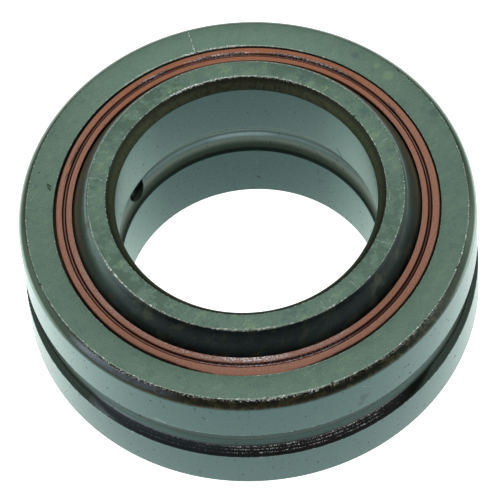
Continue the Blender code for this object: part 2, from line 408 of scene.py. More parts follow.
def seal_section():
    """Half section of the upper seal: its neck and bead in the seat, two lips on the ball, its face."""
    bead = SEAT_MOUTH - SEAL_CLEARANCE + SEAT_UNDERCUT
    bottom = OUTER_FACE - SEAT_DEPTH + SEAL_CLEARANCE
    lower_lip = bottom + SEAL_LOWER_LIP
    upper_lip = SEAL_TOP - SEAL_UPPER_LIP
    pocket_depth, pocket_wall = SEAL_POCKET
    groove_width, groove_depth, groove_taper = SEAL_GROOVE
    ridge_width, ridge_depth = SEAL_RIDGE

    def on_lip(height):
        return math.sqrt((BALL + LIP_CLEARANCE)**2 - height**2)

    def face(radius):
        return SEAL_TOP + SEAL_LIP_RISE * (SEAL_RIM - radius) / (SEAL_RIM - SEAL_LIP_EDGE)

    pocket = on_lip(lower_lip) + pocket_depth
    groove_out = SEAL_GROOVE_IN + groove_width
    groove_floor = SEAL_TOP - groove_depth
    middle = (SEAL_GROOVE_IN + groove_out) / 2
    ridge_half = ridge_width / 2
    ridge_top = face(middle) - ridge_depth
    return [
        (SEAL_RIM, face(SEAL_RIM), 0.09),
        (SEAL_RIM, SEAL_BEAD_TOP, 0.06),
        (bead, SEAL_BEAD_TOP - SEAT_FLANK_DROP, 0.08),
        (bead, bottom, 0.10),
        (on_lip(bottom), bottom, 0.05),
        (on_lip(lower_lip), lower_lip, 0.05),
        (pocket, lower_lip + pocket_wall, 0.10),
        (pocket, groove_floor - pocket_wall, 0.10),
        (on_lip(upper_lip), upper_lip, 0.05),
        (SEAL_LIP_EDGE, face(SEAL_LIP_EDGE), 0.06),
        (SEAL_GROOVE_IN, face(SEAL_GROOVE_IN), 0.05),
        (SEAL_GROOVE_IN + groove_taper, groove_floor, 0.03),
        (middle - ridge_half - groove_taper, groove_floor, 0.03),
        (middle - ridge_half, ridge_top, 0.02),
        (middle + ridge_half, ridge_top, 0.02),
        (middle + ridge_half + groove_taper, groove_floor, 0.03),
        (groove_out - groove_taper, groove_floor, 0.03),
        (groove_out, face(groove_out), 0.05),
    ]


def settle_neck(piece):
    """Moves a seal's neck off centre, then leans a short arc of it against its seat."""
    neck = SEAL_RIM - NECK_BAND
    take_in_hand(piece)
    bpy.ops.object.mode_set(mode="EDIT")
    pick(piece, lambda place: place.xy.length > neck and abs(place.z) > SEAL_BEAD_TOP)
    bpy.ops.transform.translate(value=Vector((*NECK_SHIFT, 0)) * MM)
    lean = Vector(polar(1, NECK_LEAN_AZIMUTH, 0))
    for half_width in NECK_LEAN_ARCS:
        reach = math.cos(math.radians(half_width))
        pick(
            piece,
            lambda place: place.xy.length > neck - NECK_LEAN_BAND
            and abs(place.z) > SEAL_BEAD_TOP
            and place.xy.normalized().dot(lean.xy) > reach,
        )
        bpy.ops.transform.translate(value=lean * NECK_LEAN * MM)
    bpy.ops.object.mode_set(mode="OBJECT")


def seal(name, side):
    """One seal, upright on the upper side and turned over on the lower."""
    section = [(radius, side * height, rounding) for radius, height, rounding in seal_section()]
    nicks = [(radius, azimuth, side * height, size) for radius, azimuth, height, size in SEAL_NICKS]
    piece = draw_section(name, section)
    spin_section()
    settle_neck(piece)
    carve(piece, knocks(nicks))
    smooth(piece)
    return piece


# Finishes

def rgb(colour):
    """A named colour with its alpha; a socket passes as it is."""
    return (*colour, 1.0) if isinstance(colour, tuple) and len(colour) == 3 else colour


def shade(colour, share):
    return tuple(share * part for part in colour)


class Finish:
    """A node material built up step by step from the piece's own coordinates."""

    def __init__(self, name):
        self.material = bpy.data.materials.new(name)
        self.material.use_nodes = True
        self.tree = self.material.node_tree
        self.shader = self.tree.nodes["Principled BSDF"]
        place = self.add("ShaderNodeTexCoord").outputs["Object"]
        self.place = self.vector("SCALE", place, Scale=1 / MM)
        parts = self.add("ShaderNodeSeparateXYZ", Vector=self.place).outputs
        self.height = parts["Z"]
        self.depth = self.calc("ABSOLUTE", self.height)
        flat = self.vector("MULTIPLY", self.place, (1, 1, 0))
        self.radius = self.vector("LENGTH", flat)
        self.outward = self.vector("NORMALIZE", flat)

    def plug(self, socket, value):
        if isinstance(value, bpy.types.NodeSocket):
            self.tree.links.new(value, socket)
        else:
            socket.default_value = value

    def fill(self, node, inputs):
        """Gives a node its inputs, named with underscores for spaces."""
        for name, value in inputs.items():
            self.plug(node.inputs[name.replace("_", " ")], value)
        return node

    def add(self, kind, **inputs):
        return self.fill(self.tree.nodes.new(kind), inputs)

    def calc(self, operation, *values):
        node = self.tree.nodes.new("ShaderNodeMath")
        node.operation = operation
        for socket, value in zip(node.inputs, values):
            self.plug(socket, value)
        return node.outputs[0]

    def vector(self, operation, *values, **inputs):
        node = self.add("ShaderNodeVectorMath")
        node.operation = operation
        for socket, value in zip(node.inputs, values):
            self.plug(socket, value)
        self.fill(node, inputs)
        wanted = "Value" if operation in {"LENGTH", "DOT_PRODUCT", "DISTANCE"} else "Vector"
        return node.outputs[wanted]

    def fade(self, value, start, end):
        """0 at the start, 1 at the end, smooth between."""
        node = self.add("ShaderNodeMapRange", From_Min=start, From_Max=end, Value=value)
        node.interpolation_type = "SMOOTHSTEP"
        return node.outputs["Result"]

    def joined(self, operation, values):
        result = values[0]
        for value in values[1:]:
            result = self.calc(operation, result, value)
        return result

    def both(self, *masks):
        return self.joined("MULTIPLY", masks)

    def either(self, *masks):
        return self.joined("MAXIMUM", masks)

    def without(self, mask):
        return self.calc("SUBTRACT", 1, mask)

    def band(self, value, low, high, soft):
        """1 between two values, 0 outside them."""
        return self.both(
            self.fade(value, low - soft, low + soft), self.fade(value, high + soft, high - soft)
        )

    def noise(self, scale, detail, roughness, place=None):
        """Cloudy noise with its scale in cells for each millimetre."""
        node = self.add(
            "ShaderNodeTexNoise",
            Vector=self.place if place is None else place,
            Scale=scale,
            Detail=detail,
            Roughness=roughness,
        )
        return node.outputs["Fac"]

    def specks(self, spacing, size, share):
        """Small round dots about a spacing apart, with only a share of them kept."""
        cells = self.add("ShaderNodeTexVoronoi", Vector=self.place, Scale=1 / spacing)
        chance = self.add("ShaderNodeSeparateColor", Color=cells.outputs["Color"])
        kept = self.calc("LESS_THAN", chance.outputs["Red"], share)
        reach = size / spacing
        rough = self.noise(5.0, 2, 0.7)
        torn = self.calc("MULTIPLY_ADD", rough, 1.6 * reach, cells.outputs["Distance"])
        return self.both(kept, self.fade(torn, reach * 1.8, reach * 1.4))

    def turned(self, round_about, across):
        """Coordinates for marks that run round the ring."""
        along = self.vector("SCALE", self.outward, Scale=round_about)
        across_place = self.add(
            "ShaderNodeCombineXYZ",
            X=self.calc("MULTIPLY", self.radius, across),
            Z=self.calc("MULTIPLY", self.height, across),
        ).outputs["Vector"]
        return self.vector("ADD", along, across_place)

    def hairs(self, azimuth, length, fineness):
        """Coordinates for short hair marks that lie along one direction of a flat face."""
        node = self.add("ShaderNodeVectorRotate", Vector=self.place, Angle=-math.radians(azimuth))
        return self.vector("MULTIPLY", node.outputs[0], (1 / length, fineness, 1))

    def edge(self, radius, height):
        """Distance from a turned edge, on both sides of the ring."""
        run = self.calc("SUBTRACT", self.radius, radius)
        drop = self.calc("SUBTRACT", self.depth, height)
        squares = self.calc("ADD", self.calc("POWER", run, 2), self.calc("POWER", drop, 2))
        return self.calc("SQRT", squares)

    def worn_edge(self, radius, height, width, amount):
        """Coat rubbed off a turned edge in a fine uneven line that breaks up."""
        chips = self.calc("MULTIPLY_ADD", self.noise(7.0, 2, 0.6), 5, -2.5)
        reach = self.calc("MULTIPLY", self.calc("ADD", chips, amount), width)
        beyond = self.calc("SUBTRACT", self.edge(radius, height), reach)
        return self.fade(beyond, 0.02, -0.01)

    def sector(self, azimuth, half_width):
        """1 at one azimuth of the ring, 0 beyond a half width."""
        towards = self.vector("DOT_PRODUCT", self.outward, polar(1, azimuth, 0))
        return self.fade(towards, math.cos(math.radians(half_width)), 1)

    def sectors(self, *stretches):
        """Several stretches of the ring, each with its azimuth, half width and strength."""
        masks = []
        for azimuth, half_width, strength in stretches:
            masks.append(self.both(self.sector(azimuth, half_width), strength))
        return self.either(*masks)

    def scratch(self, start, end, width):
        """A straight mark between two places."""
        run = Vector(end) - Vector(start)
        offset = self.vector("SUBTRACT", self.place, start)
        ahead = self.vector("DOT_PRODUCT", offset, tuple(run))
        share = self.calc("DIVIDE", ahead, run.length_squared)
        share.node.use_clamp = True
        nearest = self.vector("SCALE", tuple(run), Scale=share)
        return self.fade(self.vector("DISTANCE", offset, nearest), width, width * 0.3)

    def scratches(self, rows):
        """Straight marks that break up along their length."""
        broken = self.fade(self.noise(3.5, 3, 0.7), 0.40, 0.56)
        return self.both(self.either(*[self.scratch(*row) for row in rows]), broken)

    def spot(self, place, size, ragged=0.5):
        """A ragged patch round one place."""
        distance = self.vector("DISTANCE", self.place, place)
        torn = self.calc("MULTIPLY_ADD", self.noise(3.0 / size, 2, 0.6), ragged * size, distance)
        return self.fade(torn, size * (1 + ragged * 0.5), size * (0.4 + ragged * 0.5))

    def spots(self, rows):
        """Ragged patches, each with its radius, azimuth, height and size."""
        patches = [self.spot(polar(*place), size) for *place, size in rows]
        return self.either(*patches)

    def fracture_glint(self):
        """Broken bright dots along the split in the outer ring."""
        ahead = self.vector("DOT_PRODUCT", self.place, polar(1, FRACTURE_AZIMUTH, 0))
        angle = math.radians(FRACTURE_AZIMUTH)
        aside = self.vector("DOT_PRODUCT", self.place, (-math.sin(angle), math.cos(angle), 0))
        wander = self.calc("MULTIPLY_ADD", self.noise(3.0, 2, 0.6), 0.20, -0.10)
        line = self.fade(self.calc("ABSOLUTE", self.calc("ADD", aside, wander)), 0.055, 0.025)
        broken = self.fade(self.noise(5.0, 2, 0.7), 0.47, 0.55)
        return self.both(line, broken, self.fade(ahead, 0, 1))

    def paint(self, base, colour, mask):
        node = self.tree.nodes.new("ShaderNodeMix")
        node.data_type = "RGBA"
        self.plug(node.inputs["Factor"], mask)
        self.plug(node.inputs["A"], rgb(base))
        self.plug(node.inputs["B"], rgb(colour))
        return [socket for socket in node.outputs if socket.type == "RGBA"][0]

    def painted(self, base, *coats):
        """A colour under others, each with the mask of what it covers."""
        for colour, mask in coats:
            base = self.paint(base, colour, mask)
        return base

    def blend(self, base, value, mask):
        node = self.add("ShaderNodeMix")
        self.plug(node.inputs[0], mask)
        self.plug(node.inputs[2], base)
        self.plug(node.inputs[3], value)
        return node.outputs[0]

    def blended(self, base, *parts):
        """A value that gives way to others, each with the mask of where it holds."""
        for value, mask in parts:
            base = self.blend(base, value, mask)
        return base

    def bump(self, height, strength, distance, under=None):
        node = self.add("ShaderNodeBump", Height=height, Strength=strength, Distance=distance * MM)
        if under is not None:
            self.plug(node.inputs["Normal"], under)
        return node.outputs["Normal"]

    def ground(self, grain_strength, steps, steps_strength):
        """A ground surface: fine grain, with turning steps over it."""
        grain = self.bump(self.noise(9.0, 2, 0.6), grain_strength, 0.012)
        return self.bump(steps, steps_strength, 0.02, grain)

    def apply(self, **inputs):
        """The material, with its shader's inputs filled."""
        self.fill(self.shader, inputs)
        return self.material


# Colours
BLACK = (0, 0, 0)
OUTER_TINT = (0.86, 1.0, 0.95, 1)
INNER_TINT = (0.81, 1.0, 0.92, 1)
FACE_GREEN = (0.090, 0.163, 0.118)
WALL_TEAL = (0.037, 0.080, 0.076)
YELLOW_GREEN = (0.160, 0.250, 0.135)
DEEP_TEAL = (0.045, 0.095, 0.085)
SCUFFED = (0.30, 0.37, 0.29)
BARE_STEEL_AND_GLINTS = (0.80, 0.84, 0.82)
PALE_GRAIN = (0.45, 0.52, 0.48)
DARK_SPECK = (0.004, 0.007, 0.007)
# Rim chamfer: besides its own colours, a painted highlight, a painted blue reflection and painted shade
RIM_CHAMFER_GREEN = (0.040, 0.072, 0.044)
RIM_CHAMFER_HIGHLIGHT = (0.30, 0.40, 0.33)
RIM_CHAMFER_BROWN = (0.034, 0.032, 0.022)
RIM_CHAMFER_OLIVE = (0.080, 0.076, 0.036)
RIM_CHAMFER_DEEP = (0.016, 0.026, 0.017)
RIM_CHAMFER_BLUE_REFLECTION = (0.150, 0.185, 0.215)
RIM_CHAMFER_SHADE = (0.01, 0.01, 0.01)
RIM_CHAMFER_LINE = (0.012, 0.016, 0.012)
# Rim oil groove: a painted blue reflection, and painted olive shade at its sides
RIM_GROOVE_DARK = (0.024, 0.048, 0.042)
RIM_GROOVE_LOWER_GREY = (0.082, 0.082, 0.080)
RIM_GROOVE_BLUE_REFLECTION = (0.085, 0.105, 0.120)
RIM_GROOVE_OLIVE = (0.006, 0.014, 0.009)
BORE_TEAL = (0.027, 0.064, 0.061)
# Bore: painted highlights on its sides and on its oil groove at the back, painted light on the groove's
# foot, brow and shoulder
BORE_SIDE_HIGHLIGHT = (0.060, 0.122, 0.111)
BORE_GROOVE_HIGHLIGHT = (0.24, 0.31, 0.32)
BORE_GROOVE_FOOT = (0.135, 0.185, 0.140)
BORE_GROOVE_BROW = (0.100, 0.155, 0.142)
BORE_GROOVE_SHOULDER = (0.250, 0.345, 0.320)
BORE_CHAMFER_OLIVE = (0.062, 0.078, 0.034)
BORE_CHAMFER_PALE = (0.135, 0.145, 0.085)
BORE_CHAMFER_BLACK = (0.008, 0.008, 0.006)
BORE_CHAMFER_DIRT = (0.02, 0.02, 0.015)
HOLLOW_SHADE = (0.01, 0.012, 0.01)
# Ball: painted shade in front, painted highlights on its top edge and in streaks, painted light by the seal
BALL_DARK = (0.020, 0.032, 0.034)
BALL_BLACK = (0.003, 0.007, 0.007)
BALL_SIDE = (0.050, 0.088, 0.070)
BALL_PALE = (0.120, 0.180, 0.165)
BALL_OLIVE = (0.052, 0.060, 0.036)
BALL_BLUE = (0.075, 0.115, 0.125)
BALL_PAINTED_LIGHT = (0.250, 0.215, 0.140)
CLAY = (0.370, 0.148, 0.080)
DUSTY_CLAY = (0.430, 0.225, 0.165)
SHADED_CLAY = (0.060, 0.010, 0.007)
RIDGE_CLAY = (0.280, 0.135, 0.100)
SOILED_CLAY = (0.100, 0.060, 0.045)
NECK_DIRT_AND_SHADE = (0.075, 0.056, 0.042)
DUST = (0.480, 0.360, 0.320)
PALE_GRIT = (0.80, 0.76, 0.80)
LIP_GLINT = (1.0, 0.96, 1.0)

# Scratches and dark marks

def on_face(height, *rows):
    """Marks on a flat face, each from one x and y to another, with its width."""
    return tuple(((x, y, height), (to_x, to_y, height), width) for x, y, to_x, to_y, width in rows)


def on_wall(radius, *rows):
    """Marks on a round wall, each from one azimuth and height to another, with its width."""
    return tuple(
        (polar(radius, turn, height), polar(radius, to_turn, to_height), width)
        for turn, height, to_turn, to_height, width in rows
    )


BALL_RING_SCRATCHES = on_face(
    INNER_FACE,
    (-11.66, 2.62, -11.20, 2.56, 0.055),
    (-11.20, 2.56, -10.62, 2.22, 0.065),
    (-11.10, 4.10, -10.75, 3.75, 0.03),
    (-8.90, -7.30, -8.45, -7.05, 0.03),
    (4.85, -10.03, 5.18, -10.68, 0.05),
    (5.78, -9.69, 5.52, -10.19, 0.04),
    (7.23, -8.51, 7.92, -9.29, 0.035),
    (11.05, -0.56, 11.59, -0.80, 0.045),
    (11.59, -0.80, 12.00, -0.42, 0.03),
    (10.90, -0.94, 10.76, -1.65, 0.03),
    (9.56, -5.11, 10.36, -5.51, 0.045),
    (10.36, -5.51, 11.27, -5.37, 0.03),
    (11.16, 3.92, 10.75, 3.70, 0.05),
)
BALL_RING_DARK_MARKS = on_wall(
    BORE,
    (43.0, 2.57, 40.4, 1.95, 0.07),
    (40.6, 2.05, 39.6, 1.48, 0.08),
    (84.3, -5.2, 82.8, -5.45, 0.09),
)
RACE_RING_SCRATCHES = on_face(
    OUTER_FACE,
    (-16.07, 3.72, -16.65, 2.87, 0.028),
    (-15.95, 3.00, -16.45, 2.30, 0.022),
    (4.12, -14.55, 3.17, -15.24, 0.04),
) + on_wall(
    RIM,
    (295.5, 4.60, 297.2, 4.20, 0.04),
    (240.8, 2.02, 244.6, 1.86, 0.05),
    (255.6, 3.66, 256.0, 3.45, 0.05),
)
RACE_RING_DARK_MARKS = on_face(
    OUTER_FACE,
    (-15.02, 3.62, -14.90, 3.30, 0.19),
    (-14.80, 3.46, -14.86, 3.14, 0.12),
    (-15.62, 4.85, -15.60, 4.78, 0.08),
) + on_wall(
    RIM,
    (244.4, 4.32, 244.9, 3.95, 0.06),
    (254.5, 4.00, 255.3, 3.62, 0.07),
    (306.0, 2.95, 306.3, 2.60, 0.07),
)

# Patches: radius, azimuth, height and size
RACE_RING_SMUDGES = (
    (RIM, 295.6, 3.10, 0.55),
    (RIM, 294.6, 2.40, 0.40),
    (16.54, 25.5, OUTER_FACE, 0.55),
    (16.05, 54.5, OUTER_FACE, 0.45),
)
RACE_RING_STAINS = (
    (16.06, 42.9, OUTER_FACE, 0.60),
    (16.20, 47.5, OUTER_FACE, 0.35),
)


def clouded(look, colour, face, mottling, pitting):
    """A phosphate coat's clouds, flecks, grain and specks over its plain colour."""
    clouds = look.noise(0.55, 4, 0.6)
    flecks = look.noise(1.3, 5, 0.72)
    streaky = look.noise(1.0, 4, 0.7, look.hairs(35, 1.1, 1.9))
    yellow = look.both(
        face, look.fade(streaky, 0.48, 0.64), look.fade(clouds, 0.38, 0.58), mottling
    )
    deep = look.both(face, look.fade(flecks, 0.52, 0.38), look.fade(clouds, 0.60, 0.44), mottling)
    colour = look.painted(
        colour, (YELLOW_GREEN, look.both(yellow, 0.8)), (DEEP_TEAL, look.both(deep, 0.75))
    )
    for azimuth in (20, 75, 140):
        hair = look.noise(1.0, 2, 0.5, look.hairs(azimuth, 1.6, 7.0))
        scuff = look.both(face, look.fade(hair, 0.66, 0.76), 0.35, mottling)
        colour = look.paint(colour, SCUFFED, scuff)
    grain = look.noise(7.0, 3, 0.7)
    pale_share = look.blend(0.03, 0.09, face)
    colour = look.painted(
        colour,
        (BLACK, look.both(look.fade(grain, 0.50, 0.36), 0.18)),
        (PALE_GRAIN, look.both(look.fade(grain, 0.52, 0.70), pale_share)),
    )
    pits = look.either(
        look.specks(1.1, 0.11, 0.55),
        look.specks(0.7, 0.075, 0.75),
        look.both(look.specks(0.55, 0.075, pitting), look.without(face)),
        look.both(look.specks(0.45, 0.05, 0.9), 0.75),
    )
    crowded = look.fade(look.noise(0.5, 2, 0.6), 0.40, 0.56)
    pits = look.both(pits, look.blend(1.0, 0.35, face), look.blend(0.35, 1.0, crowded))
    return look.paint(colour, DARK_SPECK, look.both(pits, 0.9)), pits


def outer_ring_areas(look):
    """Where the outer ring's faces, rim wall, chamfers and oil groove are."""
    on = SimpleNamespace()
    on.face = look.fade(look.depth, OUTER_FACE - 0.06, OUTER_FACE - 0.02)
    on.wall = look.fade(look.radius, RIM - 0.06, RIM - 0.02)
    on.chamfer = look.both(
        look.fade(look.radius, RIM_FACE_EDGE - 0.02, RIM_FACE_EDGE + 0.05),
        look.fade(look.depth, RIM_WALL_EDGE + 0.04, RIM_WALL_EDGE + 0.08),
    )
    on.groove = look.both(
        look.fade(look.radius, RIM - 0.02, RIM - 0.08),
        look.fade(look.radius, RACE + 1.2, RACE + 1.3),
        look.fade(look.depth, 1.70, 1.6),
    )
    return on


def rim_chamfer_colour(look):
    """Brown in front with painted shade on its inner half there, deep green to the right, a painted blue
    reflection at the front left, and painted highlights at both sides and along its outer edge elsewhere.
    """
    inner_half = look.fade(look.radius, RIM - 0.28, RIM - 0.38)
    face_line = look.fade(look.radius, RIM_FACE_EDGE + 0.16, RIM_FACE_EDGE + 0.06)
    blue_reflection = look.band(look.radius, RIM - 0.45, RIM - 0.18, 0.08)
    stains = look.fade(look.noise(2.2, 4, 0.75), 0.48, 0.58)
    outer_edge = look.fade(look.radius, RIM - 0.24, RIM - 0.02)
    sides_and_back = look.sectors((172, 46, 1), (6, 42, 1.3), (95, 90, 1))
    return look.painted(
        RIM_CHAMFER_GREEN,
        (RIM_CHAMFER_BROWN, look.sector(276, 66)),
        (RIM_CHAMFER_DEEP, look.sectors((315, 34, 0.95), (216, 16, 0.5))),
        # Painted highlights at both sides
        (RIM_CHAMFER_HIGHLIGHT, look.sectors((356, 18, 0.12), (176, 20, 0.05))),
        # Painted shade on the inner half in front
        (RIM_CHAMFER_SHADE, look.both(inner_half, look.sectors((284, 46, 0.6), (312, 34, 0.7)))),
        (RIM_CHAMFER_LINE, look.both(face_line, look.sector(270, 165), 0.7)),
        # A painted blue reflection at the front left
        (RIM_CHAMFER_BLUE_REFLECTION, look.both(blue_reflection, look.sector(232, 19), 1.4)),
        (RIM_CHAMFER_OLIVE, look.both(stains, look.sector(278, 62))),
        # Painted highlight along the outer edge, at the sides and back
        (RIM_CHAMFER_HIGHLIGHT, look.both(outer_edge, sides_and_back)),
    )


def rim_groove_colour(look):
    """Dark green above and grey below, a painted blue reflection at the front left, painted olive shade at
    both sides, and two black lines.
    """
    sides = look.sectors((193, 36, 2.4), (350, 52, 2.4))
    sides.node.use_clamp = True
    # The lower flank's grey, with a painted blue reflection at the front left and painted shade at both
    # sides
    lower_flank = look.painted(
        RIM_GROOVE_LOWER_GREY, (RIM_GROOVE_BLUE_REFLECTION, look.sector(236, 32)), (RIM_GROOVE_OLIVE, sides)
    )
    lines = look.either(
        look.band(look.height, -0.21, -0.13, 0.02),
        look.both(look.band(look.height, -0.47, -0.41, 0.02), 0.9),
    )
    return look.painted(
        RIM_GROOVE_DARK,
        (lower_flank, look.fade(look.height, -0.85, -1.0)),
        (BLACK, look.both(lines, 0.85)),
    )


def outer_ring_scuffs(look):
    """Coat worn off the face's two edges and the oil groove's edges, rubbed hardest in front where it
    stands for a painted glint as well.
    """
    rim_rub = look.sectors((276, 24, 1.7), (240, 60, 0.6), (320, 60, 0.5), (200, 30, 0.3))
    rim_line = look.worn_edge(RIM_FACE_EDGE, OUTER_FACE, 0.035, look.calc("ADD", rim_rub, 0.45))
    seat_rub = look.sectors((100, 42, 1.8), (278, 20, 1.0))
    return look.either(
        look.both(rim_line, look.without(look.sectors((90, 75, 1.0)))),
        look.worn_edge(SEAT_MOUTH + 0.03, OUTER_FACE, 0.03, look.calc("ADD", seat_rub, 0.25)),
        look.worn_edge(RIM, RIM_GROOVE[0] / 2, 0.02, 0.2),
    )


def outer_ring_glints(look, oil_groove):
    """Painted glints: bare metal that sparkles beside the worn edges and in rows along the oil groove."""
    beside_rim = look.both(
        look.fade(look.edge(RIM_FACE_EDGE, OUTER_FACE), 0.30, 0.10),
        look.fade(look.depth, OUTER_FACE - 0.01, OUTER_FACE - 0.03),
        look.sectors((276, 22, 1.5), (240, 24, 0.8), (310, 22, 0.45)),
    )
    by_seat = look.both(
        look.fade(look.edge(SEAT_MOUTH + 0.05, OUTER_FACE), 0.16, 0.06),
        look.sectors((97, 12, 1.4), (120, 6, 0.8)),
    )
    rows = look.either(
        look.band(look.height, -1.10, -1.02, 0.02),
        look.band(look.height, -1.28, -1.22, 0.02),
        look.both(look.band(look.height, -1.46, -1.41, 0.02), 0.9),
    )
    come_and_go = look.fade(look.noise(0.9, 3, 0.7), 0.36, 0.50)
    in_front = look.sectors((281, 28, 1.7), (256, 32, 0.4))
    sparkle = look.fade(look.noise(8.0, 2, 0.6), 0.55, 0.60)
    fine_sparkle = look.fade(look.noise(11.0, 1, 0.5), 0.565, 0.595)
    return look.either(
        look.both(look.either(beside_rim, by_seat), sparkle),
        look.both(look.both(oil_groove, rows, come_and_go, in_front), fine_sparkle),
    )


def outer_ring_finish():
    """Green ground faces, a teal rim, brown chamfers and a sooty oil groove."""
    look = Finish("phosphated_race_ring")
    on = outer_ring_areas(look)
    colour = look.painted(
        FACE_GREEN,
        (WALL_TEAL, look.fade(on.face, 1, 0)),
        (rim_chamfer_colour(look), on.chamfer),
        (rim_groove_colour(look), on.groove),
    )
    colour, pits = clouded(look, colour, on.face, 0.45, 0.15)
    smudges = look.spots(RACE_RING_SMUDGES)
    dark_marks = look.scratches(RACE_RING_DARK_MARKS)
    scuffs = outer_ring_scuffs(look)
    glints = outer_ring_glints(look, on.groove)
    # Bare steel at wear and knocks, with painted glints
    bare_and_glints = look.either(
        look.both(scuffs, look.fade(look.noise(5.0, 2, 0.6), 0.55, 0.62)),
        glints,
        look.spots(RACE_RING_KNOCKS),
        look.both(on.face, look.fracture_glint()),
    )
    colour = look.painted(
        colour,
        (shade(FACE_GREEN, 1.5), look.both(on.face, look.sector(97, 55), 0.25)),
        (shade(FACE_GREEN, 0.5), look.both(on.face, look.sectors((0, 60, 0.16), (205, 45, 0.12)))),
        (YELLOW_GREEN, look.both(look.spots(RACE_RING_STAINS), 0.6)),
        (DEEP_TEAL, look.both(on.face, smudges, 0.7)),
        (shade(WALL_TEAL, 0.45), look.both(on.wall, smudges, 0.8)),
        (DARK_SPECK, look.both(dark_marks, 0.95)),
        (SCUFFED, look.both(look.scratches(RACE_RING_SCRATCHES), 0.8)),
        (SCUFFED, look.both(scuffs, 0.85)),
        (BARE_STEEL_AND_GLINTS, bare_and_glints),
    )
    dirt = look.either(pits, dark_marks)
    turned_wall = look.either(on.wall, on.groove)
    metallic = look.blended(0.25, (0.65, turned_wall), (0.5, on.chamfer), (0.0, dirt), (0.1, glints))
    roughness = look.blended(
        0.42, (0.27, turned_wall), (0.12, on.groove), (0.3, on.chamfer), (0.9, dirt), (0.5, glints)
    )
    steps = look.noise(1.0, 2, 0.6, look.turned(0.4, 9.0))
    normal = look.ground(0.25, steps, look.blend(0.05, 0.30, on.groove))
    return look.apply(
        Base_Color=colour,
        Metallic=metallic,
        Roughness=roughness,
        Normal=normal,
        Specular_Tint=OUTER_TINT,
    )


def inner_ring_areas(look):
    """Where the inner ring's faces, bore, chamfers, ball and cross hole are, and its oil groove's parts."""
    on = SimpleNamespace()
    groove_height = look.fade(look.depth, 1.7, 1.6)
    on.face = look.fade(look.depth, INNER_FACE - 0.05, INNER_FACE - 0.02)
    on.bore = look.fade(look.radius, BORE + 0.75, BORE + 0.65)
    on.chamfer = look.both(
        look.fade(look.radius, BORE_FACE_EDGE + 0.02, BORE_FACE_EDGE - 0.05),
        look.fade(look.depth, BORE_WALL_EDGE, BORE_WALL_EDGE + 0.05),
    )
    on.ball = look.both(
        look.fade(look.radius, BORE + 1.2, BORE + 1.4),
        look.fade(look.depth, INNER_FACE - 0.02, INNER_FACE - 0.08),
    )
    on.hole = look.both(look.band(look.radius, BORE + 0.66, BALL - 0.25, 0.04), groove_height)
    on.groove = look.both(look.fade(look.radius, BORE + 0.03, BORE + 0.08), groove_height)
    on.foot = look.both(on.groove, look.fade(look.height, -0.2, -0.7))
    on.shoulder = look.both(on.bore, look.band(look.height, 0.66, 1.10, 0.12))
    on.brow = look.both(
        look.band(look.height, 0.82, 1.50, 0.06),
        on.bore,
        look.fade(look.radius, BORE + 0.01, BORE + 0.08),
    )
    return on


def bore_colour(look, on):
    """Teal, with painted highlights at both sides and on the oil groove at the back, painted light and
    shade that even out the groove's shading, and painted shade along its heel.
    """
    # A painted highlight on the oil groove at the back
    groove_highlight = look.both(
        on.groove,
        look.band(look.height, -0.20, 0.30, 0.30),
        look.sectors((90, 20, 1.0), (92, 60, 0.4)),
    )
    # A band of painted shade just above the groove
    lip = look.both(on.bore, look.band(look.height, 1.58, 1.90, 0.08))
    # Painted shade along the groove's heel
    heel = look.both(on.groove, look.fade(look.height, -1.22, -1.36))
    sides = look.sectors((165, 40, 1.0), (15, 40, 1.0))
    return look.painted(
        FACE_GREEN,
        (BORE_TEAL, on.bore),
        (BORE_GROOVE_HIGHLIGHT, look.both(groove_highlight, 0.7)),
        # Painted light on the groove's foot, brow and shoulder, evening out its shading
        (BORE_GROOVE_FOOT, on.foot),
        (BORE_GROOVE_BROW, on.brow),
        (BORE_GROOVE_SHOULDER, look.both(on.shoulder, 0.9)),
        (shade(BORE_TEAL, 0.5), look.both(lip, 0.8)),
        # Painted highlights on the bore's sides
        (BORE_SIDE_HIGHLIGHT, look.both(on.bore, sides, look.without(on.groove))),
        (HOLLOW_SHADE, look.both(heel, 0.7)),
    )


def bore_chamfer_colour(look):
    """Olive, paler at the back, black towards the face, with dirty patches."""
    dirt = look.fade(look.noise(3.0, 3, 0.7), 0.5, 0.4)
    return look.painted(
        BORE_CHAMFER_OLIVE,
        (BORE_CHAMFER_PALE, look.sector(90, 62)),
        (BORE_CHAMFER_BLACK, look.both(look.fade(look.height, 7.50, 7.90), 0.75)),
        (BORE_CHAMFER_DIRT, look.both(dirt, 0.4)),
    )


def ball_colour(look):
    """Painted shade in front, nearly black, and painted highlights along its top edge on the left and at
    the back right, with bluish streaks of painted highlight, olive smears and painted light by the seal.
    """
    streaks = look.fade(look.noise(1.0, 4, 0.6, look.turned(9.0, 2.2)), 0.5, 0.66)
    smears = look.fade(look.noise(0.8, 3, 0.6, look.turned(14.0, 1.2)), 0.50, 0.64)
    top_edge = look.fade(look.depth, 7.0, 7.9)
    by_seal = look.band(look.depth, 5.7, 6.5, 0.4)
    bluish = look.sectors((222, 24, 0.5), (322, 20, 0.4), (270, 130, 0.2))
    return look.painted(
        BALL_SIDE,
        # Painted highlight along the top edge
        (BALL_PALE, look.both(top_edge, look.sectors((172, 70, 1.0), (30, 40, 0.8)))),
        # Painted shade in front
        (BALL_DARK, look.sector(280, 106)),
        # Bluish streaks of painted highlight
        (BALL_BLUE, look.both(streaks, bluish)),
        # Painted shade at the front left and right
        (BALL_BLACK, look.sectors((322, 28, 0.75), (232, 26, 0.6))),
        (BALL_OLIVE, look.both(smears, 0.7)),
        # Painted light by the seal, against the shade between lip and ball
        (BALL_PAINTED_LIGHT, look.both(by_seal, look.sectors((40, 60, 1), (145, 60, 1)))),
    )


